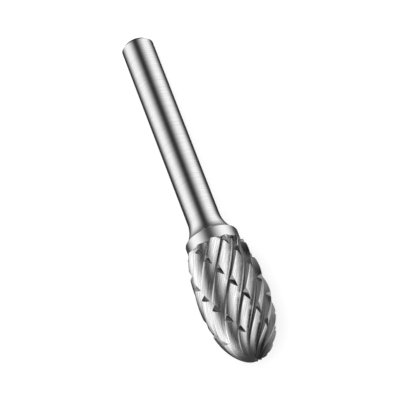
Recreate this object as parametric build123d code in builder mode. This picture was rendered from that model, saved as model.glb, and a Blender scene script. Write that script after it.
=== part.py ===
# Carbide burr: an oval, chip-breaker toothed head of tungsten carbide, brazed to a 6 mm steel shank.
# Lengths are in millimetres and angles in degrees.
#
# Heights along the tool are measured from the tip of the nose towards the shank. The burr lies as it
# comes to rest on a flat surface, on two neighbouring tooth crests and the rim of the shank's end.
import os
from math import acos, asin, atan, cos, degrees, hypot, pi, radians, sin, tan

from build123d import *

os.makedirs("parts", exist_ok=True)

# Whole tool
overall_length = 67.0
shank_diameter = 6.0
shank_end_chamfer = 0.75

# Oval head: a nose, a little fuller than a half-ellipse, and a slower tail ellipse that meet at the
# widest circle. A nose fullness of 2 is a true ellipse.
head_diameter = 12.7
nose_length = 12.3
nose_fullness = 2.1
tail_length = 17.0
fluted_length = 22.0

# Plain shoulder behind the teeth, and the steel neck behind the joint
shoulder_length = 2.4
shoulder_diameter = 9.6
shoulder_rounding = 0.35
shoulder_lip = 0.12
braze_thickness = 0.08
neck_fillet = 6.3

# Teeth
tooth_count = 12
helix_angle = 30.5
tooth_depth = 1.05
tail_depth = 0.8
run_out_length = 4.5
land_width = 0.12
back_share = 0.76
floor_share = 0.09
core_diameter = 0.3

# Chip-breaker notches: V-cuts where left-hand grooves, one to every second tooth, cross the crests
notch_depth = 0.75
notch_width = 1.2
notch_helix = 27.7
notch_entry = 0.85
notch_exit = 2.2
first_notch = 4.6
notches_on_even_teeth = 4
notches_on_odd_teeth = 3

# Stations along the head where a tooth section is drawn
station_count = 24
first_station = 0.045

# Worked-out values
head_radius = head_diameter / 2
shank_radius = shank_diameter / 2
shoulder_radius = shoulder_diameter / 2
joint_radius = shoulder_radius - shoulder_rounding
tooth_pitch = 360 / tooth_count
land_angle = degrees(land_width / head_radius)
carbide_length = fluted_length + shoulder_length
rounding_start = carbide_length - shoulder_rounding
rounding_rise = shoulder_rounding * sin(pi / 4)
rounding_middle = (joint_radius + rounding_rise, rounding_start + rounding_rise)
shank_start = carbide_length + braze_thickness
neck_rise = joint_radius - shank_radius
neck_length = (neck_rise * (2 * neck_fillet - neck_rise)) ** 0.5
rim_height = overall_length - shank_end_chamfer
tooth_lead = tan(radians(helix_angle))
groove_lead = tan(radians(notch_helix))
twist_rate = tooth_lead / head_radius
nose_turn = degrees(twist_rate * nose_length * pi / 2)
notch_step = 2 * tooth_pitch * tooth_lead / (tooth_lead + groove_lead)


def crest_radius(height):
    """Radius of the oval that the tooth crests lie on."""
    if height < nose_length:
        share = 1 - height / nose_length
        return head_radius * (1 - share**nose_fullness) ** (1 / nose_fullness)
    return head_radius * cos(asin((height - nose_length) / tail_length))


def twist(height):
    """Angle that the teeth have turned through, at a nearly constant helix angle to the axis."""
    if height < nose_length:
        return degrees(twist_rate * nose_length * acos(1 - height / nose_length))
    return nose_turn + degrees(twist_rate * tail_length * asin((height - nose_length) / tail_length))


def height_at(turn):
    """Height at which the teeth have turned through an angle."""
    if turn < nose_turn:
        return nose_length * (1 - cos(radians(turn) / (twist_rate * nose_length)))
    return nose_length + tail_length * sin(radians(turn - nose_turn) / (twist_rate * tail_length))


def profile_slope(height):
    """Angle between the oval's outline and the axis."""
    if height < nose_length:
        share = 1 - height / nose_length
        rest = (1 - share**nose_fullness) ** (1 - 1 / nose_fullness)
        return atan(head_radius * share ** (nose_fullness - 1) / (nose_length * rest))
    share = (height - nose_length) / tail_length
    return -atan(head_radius * share / (tail_length * cos(asin(share))))


def floor_radius(height):
    """Radius of the flute floors: full depth along the body, shallower to the nose and the shoulder."""
    crest = crest_radius(height)
    depth = tooth_depth * min(1, crest / head_radius)
    run_out = (height - (fluted_length - run_out_length)) / run_out_length
    if run_out > 0:
        depth = min(depth, tooth_depth + (tail_depth - tooth_depth) * run_out)
    return max(core_diameter / 2, crest - depth / cos(profile_slope(height)))


# Resting pose: the tangent from the oval to the rim of the shank's end. The two crests touch either
# side of the oval's lowest point, so the oval itself would sink below the surface by the crest sag.
half_gap = radians(tooth_pitch / 2) / twist_rate
crest_sag = half_gap**2 / (2 * (tail_length**2 / head_radius + head_radius / tooth_lead**2))
lie_angle = 0.0
for _ in range(8):
    oval_reach = hypot(tail_length * sin(radians(lie_angle)), head_radius * cos(radians(lie_angle)))
    oval_reach -= crest_sag
    rim_reach = shank_radius * cos(radians(lie_angle))
    lie_angle = degrees(asin((oval_reach - rim_reach) / (rim_height - nose_length)))

lie = radians(lie_angle)
touch_height = nose_length + tail_length * sin(atan(tan(lie) * tail_length / head_radius))
rest_roll = tooth_pitch / 2 - twist(touch_height)
nose_height = nose_length * sin(lie) + oval_reach
half_span = (overall_length * cos(lie) + (shank_radius - shank_end_chamfer) * sin(lie)) / 2

# The tool's own frame: origin on the nose, Z along the axis to the shank, X towards the surface below
tool = Plane(
    origin=(-half_span, 0, nose_height),
    x_dir=(-sin(lie), 0, -cos(lie)),
    z_dir=(cos(lie), 0, -sin(lie)),
)
tool_axis = Axis(tool.origin, tool.z_dir)
profile_plane = Plane(origin=tool.origin, x_dir=tool.x_dir, z_dir=-tool.y_dir)


def polar(radius, angle):
    return (radius * cos(radians(angle)), radius * sin(radians(angle)))


def tooth_outline(height):
    """Corners of the saw-tooth section: crest land, straight back, flute floor and rake face."""
    crest = crest_radius(height)
    floor = floor_radius(height)
    corners = []
    for tooth in range(tooth_count):
        edge = rest_roll + twist(height) + tooth * tooth_pitch
        corners.append(polar(crest, edge))
        corners.append(polar(crest, edge + land_angle))
        corners.append(polar(floor, edge + back_share * tooth_pitch))
        corners.append(polar(floor, edge + (back_share + floor_share) * tooth_pitch))
    return corners


def notch_scale(height):
    """Share of the full notch size: notches get smaller towards the nose, as the flutes do."""
    return min(1, crest_radius(height) / head_radius)


def notch_plane(tooth, height):
    """Plane across a chip-breaker groove, behind the crest: X outwards, Z along the groove."""
    angle = radians(rest_roll + twist(height) + tooth * tooth_pitch + land_angle)
    slope = profile_slope(height)
    radial = tool.x_dir * cos(angle) + tool.y_dir * sin(angle)
    tangent = tool.y_dir * cos(angle) - tool.x_dir * sin(angle)
    outward = radial * cos(slope) - tool.z_dir * sin(slope)
    along_outline = tool.z_dir * cos(slope) + radial * sin(slope)
    groove = along_outline * cos(radians(notch_helix)) - tangent * sin(radians(notch_helix))
    crest_point = tool.origin + tool.z_dir * height + radial * crest_radius(height)
    start = crest_point - groove * notch_exit * notch_scale(height)
    return Plane(origin=start, x_dir=outward, z_dir=groove)


# ---- Cutting head ----
first_turn = twist(first_station)
turn_step = (twist(fluted_length + shoulder_lip) - first_turn) / (station_count - 1)
first_notch_turn = twist(first_notch)

with BuildPart() as chip_breakers:
    for tooth in range(tooth_count):
        odd = tooth % 2
        for notch in range(notches_on_odd_teeth if odd else notches_on_even_teeth):
            notch_height = height_at(first_notch_turn + (notch + odd / 2) * notch_step)
            depth = notch_depth * notch_scale(notch_height)
            width = notch_width * notch_scale(notch_height)
            with BuildSketch(notch_plane(tooth, notch_height)):
                with BuildLine():
                    Polyline((-depth, 0), (depth, width), (depth, -width), close=True)
                make_face()
            extrude(amount=(notch_exit + notch_entry) * notch_scale(notch_height))

with BuildPart() as cutting_head:
    for station in range(station_count):
        station_height = height_at(first_turn + station * turn_step)
        with BuildSketch(tool.offset(station_height)):
            with BuildLine():
                Polyline(*tooth_outline(station_height), close=True)
            make_face()
    loft()
    # Plain shoulder, a little proud of the flute floors
    with BuildSketch(profile_plane):
        with BuildLine():
            Line((0, fluted_length), (shoulder_radius - shoulder_lip, fluted_length))
            Line((shoulder_radius - shoulder_lip, fluted_length), (shoulder_radius, fluted_length + shoulder_lip))
            Line((shoulder_radius, fluted_length + shoulder_lip), (shoulder_radius, rounding_start))
            Line((shoulder_radius, rounding_start), rounding_middle)
            Line(rounding_middle, (joint_radius, carbide_length))
            Line((joint_radius, carbide_length), (0, carbide_length))
            Line((0, carbide_length), (0, fluted_length))
        make_face()
    revolve(axis=tool_axis)
    add(chip_breakers.part, mode=Mode.SUBTRACT)
cutting_head.part.label = "cutting_head"

# ---- Braze joint ----
with BuildPart() as braze_joint:
    with BuildSketch(tool.offset(carbide_length)):
        Circle(joint_radius)
    extrude(amount=braze_thickness)
braze_joint.part.label = "braze_joint"

# ---- Shank: a flared neck that sweeps down to the ground cylinder ----
with BuildPart() as shank:
    with BuildSketch(profile_plane):
        with BuildLine():
            Line((0, shank_start), (joint_radius, shank_start))
            RadiusArc(
                (joint_radius, shank_start),
                (shank_radius, shank_start + neck_length),
                neck_fillet,
            )
            Line((shank_radius, shank_start + neck_length), (shank_radius, overall_length))
            Line((shank_radius, overall_length), (0, overall_length))
            Line((0, overall_length), (0, shank_start))
        make_face()
    revolve(axis=tool_axis)
    chamfer(shank.edges().sort_by(tool_axis)[-1], length=shank_end_chamfer)
shank.part.label = "shank"

export_step(cutting_head.part, "parts/cutting_head.step")
export_step(braze_joint.part, "parts/braze_joint.step")
export_step(shank.part, "parts/shank.step")
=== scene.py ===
from math import acos, asin, atan, atan2, cos, degrees, hypot, pi, radians, sin, tan

import bmesh
import bpy
from mathutils import Matrix, Vector


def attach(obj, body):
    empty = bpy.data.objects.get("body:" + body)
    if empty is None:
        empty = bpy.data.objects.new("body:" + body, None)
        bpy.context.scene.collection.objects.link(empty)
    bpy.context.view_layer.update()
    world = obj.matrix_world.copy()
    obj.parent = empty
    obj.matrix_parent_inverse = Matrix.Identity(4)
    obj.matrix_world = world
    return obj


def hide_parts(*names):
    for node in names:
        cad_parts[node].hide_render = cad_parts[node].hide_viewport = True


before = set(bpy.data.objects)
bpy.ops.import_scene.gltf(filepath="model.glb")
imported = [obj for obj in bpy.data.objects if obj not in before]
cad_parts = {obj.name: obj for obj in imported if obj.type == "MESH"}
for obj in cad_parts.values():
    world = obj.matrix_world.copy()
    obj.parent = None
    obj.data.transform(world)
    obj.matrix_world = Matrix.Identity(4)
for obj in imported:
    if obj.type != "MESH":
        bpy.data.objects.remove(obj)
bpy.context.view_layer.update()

# ---- Sizes of the burr, in millimetres and degrees ----
OVERALL_LENGTH = 67.0
SHANK_RADIUS = 3.0
SHANK_END_CHAMFER = 0.75
HEAD_RADIUS = 6.35
NOSE_LENGTH = 12.3
NOSE_FULLNESS = 2.1
TAIL_LENGTH = 17.0
FLUTED_LENGTH = 22.0
SHOULDER_LENGTH = 2.4
SHOULDER_RADIUS = 4.8
SHOULDER_ROUNDING = 0.35
SHOULDER_LIP = 0.12
BRAZE_THICKNESS = 0.08
NECK_FILLET = 6.3
TOOTH_COUNT = 12
HELIX_ANGLE = 30.5
TOOTH_DEPTH = 1.05
TAIL_DEPTH = 0.8
RUN_OUT_LENGTH = 4.5
LAND_WIDTH = 0.12
BACK_SHARE = 0.76
FLOOR_SHARE = 0.09
CORE_RADIUS = 0.15

# Chip-breaker notches, cut slightly deeper and wider than in the solids
NOTCH_DEPTH = 0.8
NOTCH_WIDTH = 1.35
NOTCH_HELIX = 27.7
NOTCH_ENTRY = 0.85
NOTCH_EXIT = 2.2
FIRST_NOTCH = 4.6
NOTCHES_ON_TEETH = (4, 3)

# Curve of a tooth's back: its two middle points, as shares of the way across and down
RELIEF, GULLET = (0.36, 0.22), (0.74, 0.80)

# ---- How finely the surfaces are divided ----
STATIONS = 130
FIRST_STATION = 0.045
BACK_POINTS = 12
FLOOR_POINTS = 2
RAKE_POINTS = 3
TURNING_STEPS = 144
SHOULDER_STEPS = 288
ROUNDING_STEPS = 8
NECK_STEPS = 24
MERGE_DISTANCE = 0.001

MM = 0.001
PITCH = 360 / TOOTH_COUNT
LAND_ANGLE = degrees(LAND_WIDTH / HEAD_RADIUS)
CARBIDE_LENGTH = FLUTED_LENGTH + SHOULDER_LENGTH
JOINT_RADIUS = SHOULDER_RADIUS - SHOULDER_ROUNDING
SHANK_START = CARBIDE_LENGTH + BRAZE_THICKNESS
NECK_RISE = JOINT_RADIUS - SHANK_RADIUS
NECK_LENGTH = (NECK_RISE * (2 * NECK_FILLET - NECK_RISE)) ** 0.5
RIM_HEIGHT = OVERALL_LENGTH - SHANK_END_CHAMFER
TOOTH_LEAD = tan(radians(HELIX_ANGLE))
GROOVE_LEAD = tan(radians(NOTCH_HELIX))
TWIST_RATE = TOOTH_LEAD / HEAD_RADIUS
NOSE_TURN = degrees(TWIST_RATE * NOSE_LENGTH * pi / 2)
NOTCH_STEP = 2 * PITCH * TOOTH_LEAD / (TOOTH_LEAD + GROOVE_LEAD)

# The carbide's UV map: X counts points round a section, Y is the way along a tooth in millimetres
POINT_IN_UV = 0.3
TOOTH_IN_UV = POINT_IN_UV * (1 + BACK_POINTS + FLOOR_POINTS + RAKE_POINTS)
# Where on a tooth the notches and the shoulder take their colour from, as a share of the way across: the
# notches' share falls in the gullets' painted shade, so they are painted dark
NOTCH_SHADE_SHARE, SHOULDER_TONE = 0.775, 0.3


# ---- Form of the head: heights run from the nose up the tool's axis ----
def crest_radius(height):
    if height < NOSE_LENGTH:
        share = 1 - height / NOSE_LENGTH
        return HEAD_RADIUS * (1 - share**NOSE_FULLNESS) ** (1 / NOSE_FULLNESS)
    return HEAD_RADIUS * cos(asin((height - NOSE_LENGTH) / TAIL_LENGTH))


def twist(height):
    """How far the teeth have turned at a height."""
    if height < NOSE_LENGTH:
        return degrees(TWIST_RATE * NOSE_LENGTH * acos(1 - height / NOSE_LENGTH))
    return NOSE_TURN + degrees(TWIST_RATE * TAIL_LENGTH * asin((height - NOSE_LENGTH) / TAIL_LENGTH))


def height_at(turn):
    """The height at which the teeth have turned this far."""
    if turn < NOSE_TURN:
        return NOSE_LENGTH * (1 - cos(radians(turn) / (TWIST_RATE * NOSE_LENGTH)))
    return NOSE_LENGTH + TAIL_LENGTH * sin(radians(turn - NOSE_TURN) / (TWIST_RATE * TAIL_LENGTH))


def profile_slope(height):
    """How far the crests' outline leans outwards from the axis, in radians."""
    if height < NOSE_LENGTH:
        share = 1 - height / NOSE_LENGTH
        rest = (1 - share**NOSE_FULLNESS) ** (1 - 1 / NOSE_FULLNESS)
        return atan(HEAD_RADIUS * share ** (NOSE_FULLNESS - 1) / (NOSE_LENGTH * rest))
    share = (height - NOSE_LENGTH) / TAIL_LENGTH
    return -atan(HEAD_RADIUS * share / (TAIL_LENGTH * cos(asin(share))))


def size_share(height):
    """Share of the full tooth and notch size: both get smaller with the radius."""
    return min(1, crest_radius(height) / HEAD_RADIUS)


def floor_radius(height):
    depth = TOOTH_DEPTH * size_share(height)
    run_out = (height - (FLUTED_LENGTH - RUN_OUT_LENGTH)) / RUN_OUT_LENGTH
    if run_out > 0:
        depth = min(depth, TOOTH_DEPTH + (TAIL_DEPTH - TOOTH_DEPTH) * run_out)
    return max(CORE_RADIUS, crest_radius(height) - depth / cos(profile_slope(height)))


# ---- Resting pose: on two neighbouring crests and the rim of the shank's end ----
half_gap = radians(PITCH / 2) / TWIST_RATE
crest_sag = half_gap**2 / (2 * (TAIL_LENGTH**2 / HEAD_RADIUS + HEAD_RADIUS / TOOTH_LEAD**2))
# The slope and the point that touches depend on each other, so they are settled in rounds
SETTLING_ROUNDS = 8
lie = 0.0
for _ in range(SETTLING_ROUNDS):
    oval_reach = hypot(TAIL_LENGTH * sin(lie), HEAD_RADIUS * cos(lie)) - crest_sag
    lie = asin((oval_reach - SHANK_RADIUS * cos(lie)) / (RIM_HEIGHT - NOSE_LENGTH))
touch_height = NOSE_LENGTH + TAIL_LENGTH * sin(atan(tan(lie) * TAIL_LENGTH / HEAD_RADIUS))
REST_ROLL = PITCH / 2 - twist(touch_height)
half_span = (OVERALL_LENGTH * cos(lie) + (SHANK_RADIUS - SHANK_END_CHAMFER) * sin(lie)) / 2

nose = Vector((-half_span, 0, NOSE_LENGTH * sin(lie) + oval_reach))
down = Vector((-sin(lie), 0, -cos(lie)))
side = Vector((0, 1, 0))
along = Vector((cos(lie), 0, -sin(lie)))
# Carries the tool's own frame, in millimetres, into the burr's frame, in metres
tool_axes = Matrix((down, side, along)).transposed().to_4x4()
placement = Matrix.Scale(MM, 4) @ Matrix.Translation(nose) @ tool_axes


def polar(radius, angle, height):
    return Vector((radius * cos(radians(angle)), radius * sin(radians(angle)), height))


# ---- Node trees ----
class Socket:
    """A shader value that turns Python arithmetic into Math nodes."""

    def __init__(self, tree, link):
        self.tree, self.link = tree, link

    def math(self, operation, *values):
        return self.tree.node("ShaderNodeMath", {"operation": operation}, dict(enumerate(values)))

    def __add__(self, other):
        return self.math("ADD", self, other)

    def __sub__(self, other):
        return self.math("SUBTRACT", self, other)

    def __rsub__(self, other):
        return self.math("SUBTRACT", other, self)

    def __mul__(self, other):
        return self.math("MULTIPLY", self, other)

    __radd__ = __add__
    __rmul__ = __mul__

    def fraction(self):
        return self.math("FRACT", self)

    def absolute(self):
        return self.math("ABSOLUTE", self)

    def degrees_from(self, forward):
        """The angle from forward to here, where the two are parts of one direction."""
        return self.math("ARCTAN2", self, forward) * (180 / pi)

    def band(self, low, high):
        """0 at low, 1 at high, smooth between."""
        ends = {"Value": self, "From Min": low, "From Max": high}
        return self.tree.node("ShaderNodeMapRange", {"interpolation_type": "SMOOTHSTEP"}, ends, "Result")


class Tree:
    """A node tree that is filled through one method."""

    def __init__(self, tree):
        self.tree = tree
        tree.nodes.clear()

    def add(self, kind, settings, inputs):
        node = self.tree.nodes.new(kind)
        for name, value in settings.items():
            setattr(node, name, value)
        for name, value in inputs.items():
            if isinstance(value, Socket):
                self.tree.links.new(value.link, node.inputs[name])
            else:
                node.inputs[name].default_value = value
        return node

    def node(self, kind, settings=None, inputs=None, output=0):
        return Socket(self, self.add(kind, settings or {}, inputs or {}).outputs[output])

    def noise(self, place, scale, detail, roughness=0.5):
        inputs = {"Vector": place, "Scale": scale, "Detail": detail, "Roughness": roughness}
        return self.node("ShaderNodeTexNoise", {}, inputs)

    def mix(self, factor, first, second):
        """From the first colour at 0 to the second at 1."""
        return self.node("ShaderNodeMix", {"data_type": "RGBA"}, {0: factor, 6: first, 7: second}, 2)

    def vector(self, operation, first, second, output=0):
        return self.node("ShaderNodeVectorMath", {"operation": operation}, {0: first, 1: second}, output)

    def light_path(self, ray):
        return self.node("ShaderNodeLightPath", {}, {}, ray)


def grey(value, warmth=0.0):
    return (value + warmth, value, value - warmth, 1)


# ---- Materials ----
def new_material(name):
    material = bpy.data.materials.new(name)
    material.use_nodes = True
    return material, Tree(material.node_tree)


def metal(tree, color, roughness, bump, distance, strength):
    normal = tree.node("ShaderNodeBump", {}, {"Height": bump, "Distance": distance, "Strength": strength})
    shader = tree.node(
        "ShaderNodeBsdfPrincipled",
        {},
        {"Base Color": color, "Metallic": 1.0, "Roughness": roughness, "Normal": normal},
    )
    tree.add("ShaderNodeOutputMaterial", {}, {"Surface": shader})


def carbide_material():
    """Ground tungsten carbide: bright tooth backs with fine grinding lines, and painted shade darkening
    the gullets, the rake faces and the tip.
    """
    material, tree = new_material("ground_carbide")
    place = tree.node("ShaderNodeUVMap", {"uv_map": "along_teeth"})
    across = tree.node("ShaderNodeSeparateXYZ", {}, {0: place}, "X")
    from_nose = tree.node("ShaderNodeSeparateXYZ", {}, {0: place}, "Y")
    lines = tree.node("ShaderNodeMapping", {}, {"Vector": place, "Scale": (9.0, 0.25, 1.0)})
    streaks = tree.noise(lines, scale=1.0, detail=3.0, roughness=0.6)
    patches = tree.noise(place, scale=0.6, detail=2.0)
    tooth_share = (across * (1 / TOOTH_IN_UV)).fraction()
    # Painted shade: the ends of the backs, the flute floors and the rake faces get a near-black base
    # colour that stands in for the shade and dark reflections in the flutes
    painted_gullet_shade = tooth_share.band(0.70, 0.80) - tooth_share.band(0.985, 1.0)
    color = tree.mix(streaks.band(0.35, 0.65), grey(0.48), grey(0.92))
    color = tree.mix(painted_gullet_shade * 0.9, color, grey(0.12))
    # Painted shade: the base colour darkens towards the very tip, where the flutes crowd together
    color = tree.mix(from_nose.band(5.0, 1.5) * 0.6, color, grey(0.15))
    roughness = 0.16 + 0.10 * streaks + 0.06 * patches
    metal(tree, color, roughness, streaks, distance=0.02 * MM, strength=0.7)
    return material


def steel_material():
    """Ground and polished steel, with fine lines round the shank."""
    material, tree = new_material("ground_steel")
    place = tree.node("ShaderNodeTexCoord", {}, {}, "Object")
    along_shank = {"Vector": place, "Rotation": (0, lie, 0), "Scale": (9000, 150, 150)}
    lines = tree.node("ShaderNodeMapping", {}, along_shank)
    marks = tree.noise(lines, scale=1.0, detail=2.0)
    color = tree.mix(marks.band(0.3, 0.7), grey(0.60), grey(0.70))
    roughness = 0.10 + 0.06 * marks
    metal(tree, color, roughness, marks, distance=0.002 * MM, strength=0.3)
    return material


def braze_material():
    """Dull grey silver braze."""
    material, tree = new_material("silver_braze")
    place = tree.node("ShaderNodeTexCoord", {}, {}, "Object")
    spots = tree.noise(place, scale=2500.0, detail=3.0)
    color = tree.mix(spots, grey(0.30, 0.01), grey(0.42, 0.01))
    roughness = 0.38 + 0.2 * spots
    metal(tree, color, roughness, spots, distance=0.01 * MM, strength=0.4)
    return material


# ---- Mesh helpers ----
def linked(name, mesh):
    item = bpy.data.objects.new(name, mesh)
    bpy.context.scene.collection.objects.link(item)
    return item


def placed_mesh(name, body):
    """A mesh in the burr's frame from a bmesh in the tool's frame."""
    bmesh.ops.transform(body, matrix=placement, verts=body.verts)
    bmesh.ops.recalc_face_normals(body, faces=body.faces)
    mesh = bpy.data.meshes.new(name)
    body.to_mesh(mesh)
    body.free()
    return mesh


def show_mesh(mesh, material, node, sharp_angle):
    """Makes a mesh the shown piece for a node of the frame."""
    mesh.materials.clear()
    mesh.materials.append(material)
    mesh.shade_smooth()
    mesh.set_sharp_from_angle(angle=radians(sharp_angle))
    piece = linked(mesh.name, mesh)
    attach(piece, "root")
    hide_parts(node)


def turned(profile, steps):
    """A body of revolution about the tool's axis, from (radius, height) points."""
    body = bmesh.new()
    points = [body.verts.new((radius, 0, height)) for radius, height in profile]
    edges = [body.edges.new(pair) for pair in zip(points, points[1:])]
    bmesh.ops.spin(
        body,
        geom=points + edges,
        cent=(0, 0, 0),
        axis=(0, 0, 1),
        dvec=(0, 0, 0),
        angle=2 * pi,
        steps=steps,
        use_merge=True,
    )
    bmesh.ops.remove_doubles(body, verts=body.verts, dist=MERGE_DISTANCE)
    bmesh.ops.recalc_face_normals(body, faces=body.faces)
    return body


def arc_points(centre, radius, start, end, steps):
    """Points on an arc in the profile, by angles from the outward direction."""
    points = []
    for step in range(steps + 1):
        angle = radians(start + (end - start) * step / steps)
        points.append((centre[0] + radius * cos(angle), centre[1] + radius * sin(angle)))
    return points


# ---- Cutting head ----
def back_point(heel, foot, share):
    """A point on the tooth's back, flatter behind the edge and rounded into the flute floor."""
    early, late = 3 * share * (1 - share) ** 2, 3 * share**2 * (1 - share)
    across = early * RELIEF[0] + late * GULLET[0] + share**3
    fall = early * RELIEF[1] + late * GULLET[1] + share**3
    angle = heel[1] + (foot[1] - heel[1]) * across
    return heel[0] + (foot[0] - heel[0]) * fall, angle


def tooth_section(height):
    """The saw-tooth section all round: crest land, back, flute floor and rake face."""
    crest, floor = crest_radius(height), floor_radius(height)
    points = []
    for tooth in range(TOOTH_COUNT):
        edge = REST_ROLL + twist(height) + tooth * PITCH
        heel = (crest, edge + LAND_ANGLE)
        foot = (floor, edge + BACK_SHARE * PITCH)
        root = polar(floor, edge + (BACK_SHARE + FLOOR_SHARE) * PITCH, height)
        following = polar(crest, edge + PITCH, height)
        points.append(polar(crest, edge, height))
        back = [back_point(heel, foot, step / BACK_POINTS) for step in range(BACK_POINTS)]
        points += [polar(*place, height) for place in back]
        points += [polar(*foot, height).lerp(root, step / FLOOR_POINTS) for step in range(FLOOR_POINTS)]
        points += [root.lerp(following, step / RAKE_POINTS) for step in range(RAKE_POINTS)]
    return points


def station_heights():
    """Heights of the sections, an equal turn apart."""
    first_turn = twist(FIRST_STATION)
    turn_step = (twist(FLUTED_LENGTH + SHOULDER_LIP) - first_turn) / (STATIONS - 1)
    return [height_at(first_turn + turn_step * station) for station in range(STATIONS)]


def other_end(vert, ends):
    """The one of the new ends that an edge joins to this vertex."""
    return next(edge.other_vert(vert) for edge in vert.link_edges if edge.other_vert(vert) in ends)


def toothed_oval():
    """The head's teeth: one section carried from the nose to the shoulder, ring by ring."""
    body = bmesh.new()
    lines = body.loops.layers.uv.new("along_teeth")
    heights = station_heights()
    first_section = tooth_section(heights[0])
    count = len(first_section)
    first_ring = bmesh.ops.create_circle(body, segments=count, radius=1)["verts"]
    for vert, point in zip(first_ring, first_section):
        vert.co = point
    ring = first_ring
    travelled = 0.0
    for height in heights[1:]:
        edges = [body.edges.get((ring[i], ring[(i + 1) % count])) for i in range(count)]
        made = bmesh.ops.extrude_edge_only(body, edges=edges)["geom"]
        new_verts = {item for item in made if isinstance(item, bmesh.types.BMVert)}
        upper = [other_end(vert, new_verts) for vert in ring]
        for vert, point in zip(upper, tooth_section(height)):
            vert.co = point
        step = (upper[0].co - ring[0].co).length
        index = {vert: i for i, vert in enumerate(ring)} | {vert: i for i, vert in enumerate(upper)}
        for face in (item for item in made if isinstance(item, bmesh.types.BMFace)):
            wraps = {index[vert] for vert in face.verts} == {0, count - 1}
            for loop in face.loops:
                across = index[loop.vert] or (count if wraps else 0)
                reached = travelled + (step if loop.vert in new_verts else 0)
                loop[lines].uv = (across * POINT_IN_UV, reached)
        travelled += step
        ring = upper
    bmesh.ops.contextual_create(body, geom=first_ring)
    bmesh.ops.contextual_create(body, geom=ring)
    bmesh.ops.recalc_face_normals(body, faces=body.faces)
    return body


def add_notch_cutter(body, height, angle):
    """One V-section bar along a left-hand groove, where it crosses a crest."""
    slope = profile_slope(height)
    radial = polar(1, angle, 0)
    tangent = polar(1, angle + 90, 0)
    axis = Vector((0, 0, 1))
    outward = radial * cos(slope) - axis * sin(slope)
    outline = axis * cos(slope) + radial * sin(slope)
    groove = outline * cos(radians(NOTCH_HELIX)) - tangent * sin(radians(NOTCH_HELIX))
    across = groove.cross(outward)
    size = size_share(height)
    depth, width = NOTCH_DEPTH * size, NOTCH_WIDTH * size
    start = polar(crest_radius(height), angle, height) - groove * NOTCH_EXIT * size
    corners = ((-depth, 0), (depth, width), (depth, -width))
    section = [body.verts.new(start + outward * out + across * wide) for out, wide in corners]
    made = bmesh.ops.extrude_face_region(body, geom=[body.faces.new(section)])["geom"]
    moved = [item for item in made if isinstance(item, bmesh.types.BMVert)]
    bmesh.ops.translate(body, vec=groove * (NOTCH_ENTRY + NOTCH_EXIT) * size, verts=moved)


def notch_cutters():
    """All the notches' cutters: odd teeth have theirs half a step further up."""
    body = bmesh.new()
    first_turn = twist(FIRST_NOTCH)
    for tooth in range(TOOTH_COUNT):
        odd = tooth % 2
        for notch in range(NOTCHES_ON_TEETH[odd]):
            height = height_at(first_turn + (notch + odd / 2) * NOTCH_STEP)
            angle = REST_ROLL + twist(height) + tooth * PITCH + LAND_ANGLE
            add_notch_cutter(body, height, angle)
    bmesh.ops.recalc_face_normals(body, faces=body.faces)
    return body


def plain_shoulder():
    profile = [
        (0, FLUTED_LENGTH),
        (SHOULDER_RADIUS - SHOULDER_LIP, FLUTED_LENGTH),
        (SHOULDER_RADIUS, FLUTED_LENGTH + SHOULDER_LIP),
        # A ring of its own just above the lip keeps the lip's shading off the wall
        (SHOULDER_RADIUS, FLUTED_LENGTH + 3 * SHOULDER_LIP),
    ]
    rounding_centre = (JOINT_RADIUS, CARBIDE_LENGTH - SHOULDER_ROUNDING)
    profile += arc_points(rounding_centre, SHOULDER_ROUNDING, 0, 90, ROUNDING_STEPS)
    profile.append((0, CARBIDE_LENGTH))
    return turned(profile, SHOULDER_STEPS)


def toned(body, share):
    """Gives a body without teeth the colour that a tooth has at one share of the way across it, painted
    shade included.
    """
    finish = body.loops.layers.uv.new("along_teeth")
    for face in body.faces:
        for loop in face.loops:
            loop[finish].uv = (share * TOOTH_IN_UV, FLUTED_LENGTH)
    return body


def combined(name, base, *steps):
    """A closed mesh of the base after Booleans with the other bodies, one after another."""
    base = linked("uncut", placed_mesh("uncut", base))
    helpers = []
    for operation, body in steps:
        helper = linked(operation.lower(), placed_mesh(operation.lower(), body))
        helpers.append(helper)
        cut = base.modifiers.new(helper.name, "BOOLEAN")
        cut.operation = operation
        cut.solver = "MANIFOLD"
        cut.object = helper
    depsgraph = bpy.context.evaluated_depsgraph_get()
    mesh = bpy.data.meshes.new_from_object(base.evaluated_get(depsgraph))
    for item in (base, *helpers):
        bpy.data.objects.remove(item)
    # Slivers where the cuts meet the teeth would leave the mesh open
    clean = bmesh.new()
    clean.from_mesh(mesh)
    bmesh.ops.remove_doubles(clean, verts=clean.verts, dist=MERGE_DISTANCE * MM)
    bmesh.ops.dissolve_degenerate(clean, edges=clean.edges, dist=MERGE_DISTANCE * MM)
    bmesh.ops.triangulate(clean, faces=[face for face in clean.faces if len(face.verts) > 4])
    clean.to_mesh(mesh)
    clean.free()
    mesh.name = name
    return mesh


head_mesh = combined(
    "toothed_head",
    toothed_oval(),
    ("UNION", toned(plain_shoulder(), SHOULDER_TONE)),
    # The notches take the gullets' painted shade
    ("DIFFERENCE", toned(notch_cutters(), NOTCH_SHADE_SHARE)),
)
show_mesh(head_mesh, carbide_material(), "cutting_head", sharp_angle=28)


# ---- Braze ring ----
def braze_ring():
    profile = [
        (0, CARBIDE_LENGTH),
        (JOINT_RADIUS, CARBIDE_LENGTH),
        (JOINT_RADIUS, SHANK_START),
        (0, SHANK_START),
    ]
    return turned(profile, TURNING_STEPS)


ring_mesh = placed_mesh("braze_ring", braze_ring())
show_mesh(ring_mesh, braze_material(), "braze_joint", sharp_angle=40)


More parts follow.
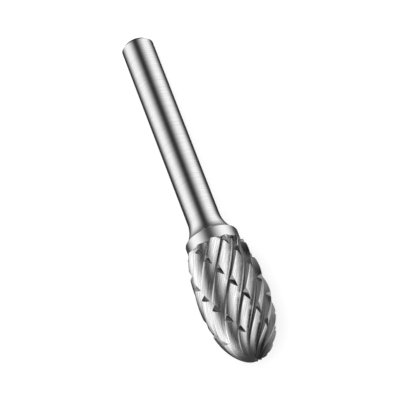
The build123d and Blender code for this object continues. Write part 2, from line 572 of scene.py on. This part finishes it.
# ---- Shank ----
def round_shank():
    """Hollow-curved neck, ground cylinder and end chamfer."""
    neck_end = SHANK_START + NECK_LENGTH
    neck_centre = (SHANK_RADIUS + NECK_FILLET, neck_end)
    start_angle = degrees(atan2(SHANK_START - neck_end, JOINT_RADIUS - neck_centre[0])) % 360
    profile = [(0, SHANK_START)]
    profile += arc_points(neck_centre, NECK_FILLET, start_angle, 180, NECK_STEPS)
    profile += [
        (SHANK_RADIUS, RIM_HEIGHT),
        (SHANK_RADIUS - SHANK_END_CHAMFER, OVERALL_LENGTH),
        (0, OVERALL_LENGTH),
    ]
    return turned(profile, TURNING_STEPS)


shank_mesh = placed_mesh("round_shank", round_shank())
show_mesh(shank_mesh, steel_material(), "shank", sharp_angle=30)


# ---- Stage: a pale floor, white to the camera ----
FLOOR_HALF_SIDE = 3.0
FLOOR_GREY = 0.8
FLOOR_GLOW = 0.55


def floor_material():
    material, tree = new_material("pale_floor")
    matt = tree.node("ShaderNodeBsdfDiffuse", {}, {"Color": grey(FLOOR_GREY)})
    glow = tree.node("ShaderNodeEmission", {}, {"Color": grey(1.0), "Strength": FLOOR_GLOW})
    glowing = tree.node("ShaderNodeAddShader", {}, {0: matt, 1: glow})
    seen = tree.light_path("Is Camera Ray")
    pale = tree.node("ShaderNodeMixShader", {}, {0: seen, 1: matt, 2: glowing})
    tree.add("ShaderNodeOutputMaterial", {}, {"Surface": pale})
    return material


floor_mesh = bpy.data.meshes.new("floor")
floor_body = bmesh.new()
bmesh.ops.create_grid(floor_body, x_segments=1, y_segments=1, size=FLOOR_HALF_SIDE)
floor_body.to_mesh(floor_mesh)
floor_body.free()
floor_mesh.materials.append(floor_material())
floor = linked("floor", floor_mesh)
floor.visible_glossy = False

# ---- Camera ----
SENSOR_WIDTH = 36.0
LENS = 187.992
# From the lens to the nose, in millimetres: to the right, downwards and away
NOSE_IN_VIEW = Vector((9.770, 27.047, 354.18))
# How far the shank leans away from the camera, and how far it turns aside, in radians
LEAN, TURN = 0.474, 0.3686
# The angle about the tool, from its resting side, that faces the camera
FACING = 207.55


def radial_at(angle):
    return down * cos(radians(angle)) + side * sin(radians(angle))


# The tool's own directions, in the view and in the burr's frame
along_seen = Vector((-sin(TURN) * cos(LEAN), -cos(TURN) * cos(LEAN), sin(LEAN)))
right_seen = Vector((cos(TURN), -sin(TURN), 0))
back_seen = along_seen.cross(right_seen)
facing = radial_at(FACING)
to_right = radial_at(FACING + 90)
seen_axes = Matrix((right_seen, back_seen, along_seen)).transposed()
real_axes = Matrix((to_right, -facing, along)).transposed()
from_view = real_axes @ seen_axes.transposed()

camera_data = bpy.data.cameras.new("camera")
camera_data.sensor_width = SENSOR_WIDTH
camera_data.lens = LENS
camera = linked("camera", camera_data)
# A Blender camera looks down its own -Z, with Y up
camera_axes = from_view @ Matrix(((1, 0, 0), (0, -1, 0), (0, 0, -1)))
camera_place = (nose - from_view @ NOSE_IN_VIEW) * MM
camera.matrix_world = Matrix.Translation(camera_place) @ camera_axes.to_4x4()
bpy.context.scene.camera = camera

# ---- Light: two soft strips, one to either side of the burr, and dark between them ----
# Degrees about the tool from its front: each strip's middle, and how far from there it is full and gone
STRIP_TURN, STRIP_CORE, STRIP_EDGE = 34, 3, 32
STUDIO_STRENGTH = 1.4
ROOM_STRENGTH = 0.7
BACKDROP_STRENGTH = 1.0
LAMP_DISTANCE = 0.35
LAMP_SIZE = 0.25
LAMP_POWER = 0.35


def mirrored_studio(tree):
    """What the metal mirrors, laid out by the way that a surface has to face to mirror it to the front."""
    middle = nose + along * OVERALL_LENGTH / 2
    to_front = (camera_place / MM - middle).normalized()
    direction = tree.node("ShaderNodeTexCoord", {}, {}, "Generated")
    halfway = tree.vector("NORMALIZE", tree.vector("ADD", direction, to_front), (0, 0, 0))
    rightward = tree.vector("DOT_PRODUCT", halfway, to_right, "Value")
    forward = tree.vector("DOT_PRODUCT", halfway, facing, "Value")
    noseward = tree.vector("DOT_PRODUCT", halfway, -along, "Value")
    azimuth = rightward.degrees_from(forward)
    off_strip = (azimuth.absolute() - STRIP_TURN).absolute()
    strips = tree.mix(off_strip.band(STRIP_EDGE, STRIP_CORE), grey(0.035), grey(0.97))
    right_fill = noseward.band(0.05, 0.40) * azimuth.band(27, 54) * 0.8
    filled = tree.mix(right_fill, strips, grey(0.55))
    darker_nose = tree.mix(noseward.band(0.58, 0.82), filled, grey(0.08))
    return tree.mix(noseward.band(-0.30, -0.68) * 0.9, darker_nose, grey(0.04))


def surroundings(tree, color, strength):
    return tree.node("ShaderNodeBackground", {}, {"Color": color, "Strength": strength})


def studio_world():
    """The studio for mirror rays, plain white behind the burr, and an even soft light from all round."""
    world = bpy.data.worlds.new("studio")
    world.use_nodes = True
    tree = Tree(world.node_tree)
    studio = surroundings(tree, mirrored_studio(tree), STUDIO_STRENGTH)
    room = surroundings(tree, grey(1.0), ROOM_STRENGTH)
    backdrop = surroundings(tree, grey(1.0), BACKDROP_STRENGTH)
    mirrored = tree.light_path("Is Glossy Ray")
    seen = tree.light_path("Is Camera Ray")
    unseen = tree.node("ShaderNodeMixShader", {}, {0: mirrored, 1: room, 2: studio})
    around = tree.node("ShaderNodeMixShader", {}, {0: seen, 1: unseen, 2: backdrop})
    tree.add("ShaderNodeOutputWorld", {}, {"Surface": around})
    return world


bpy.context.scene.world = studio_world()

lamp_data = bpy.data.lights.new("key", "AREA")
lamp_data.energy = LAMP_POWER
lamp_data.size = LAMP_SIZE
lamp = linked("key", lamp_data)
lamp.visible_glossy = False
lamp_place = (facing * 0.7 + to_right * 0.5 + along * 0.3).normalized() * LAMP_DISTANCE
lamp_turn = lamp_place.to_track_quat("Z", "Y").to_matrix().to_4x4()
lamp.matrix_world = Matrix.Translation(lamp_place) @ lamp_turn

bpy.context.scene.view_settings.view_transform = "Standard"
